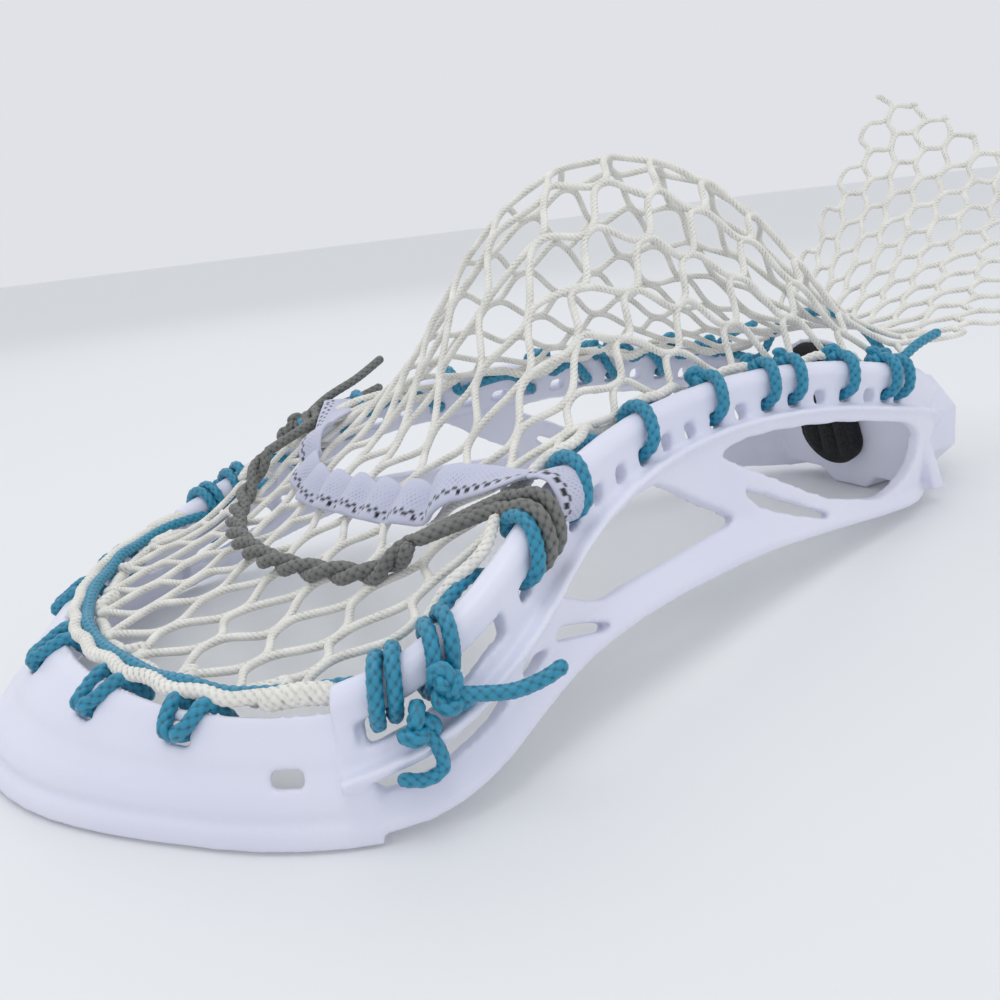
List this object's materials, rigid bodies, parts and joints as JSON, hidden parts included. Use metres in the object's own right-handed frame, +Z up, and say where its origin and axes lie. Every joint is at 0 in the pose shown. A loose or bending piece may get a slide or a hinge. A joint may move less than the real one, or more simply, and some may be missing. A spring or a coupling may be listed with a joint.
{
  "type": "strung lacrosse head",
  "caption": "Strung lacrosse stick head lying face down: moulded frame with string holes, windowed side walls and shaft socket, laced net pocket, shooting strings and foam ball stop.",
  "frame": {"origin": "centre of the base of the part's box, on the surface that the head lies on with its face down", "axes": "+X from the scoop to the shaft socket along the head, +Z up to the pocket side, +Y to the left wall"},
  "size_m": [0.3388, 0.16, 0.1193],
  "materials": {
    "nylon": "satin moulded nylon",
    "net": "braided polyester",
    "teal_cord": "braided nylon cord",
    "grey_cord": "braided nylon cord",
    "lace": "flat woven lace",
    "foam": "closed-cell foam"
  },
  "bodies": {
    "head": {"head_frame": "nylon", "mesh_pocket": "net", "left_sidewall_string": "teal_cord", "right_sidewall_string": "teal_cord", "ball_stop_pad": "foam", "top_string": "teal_cord", "throat_string": "teal_cord", "shooting_cord": "grey_cord", "shooting_lace": "lace"},
    "tail": {"mesh_tail": "net"}
  },
  "joints": [
    {"name": "tail_fold", "type": "hinge", "parent": "head", "child": "tail", "pos_m": [0.07457, 0, 0.047], "axis": [0, 1, 0], "range_deg": [-40, 10], "stiffness_Nm_per_rad": 0.1}
  ]
}
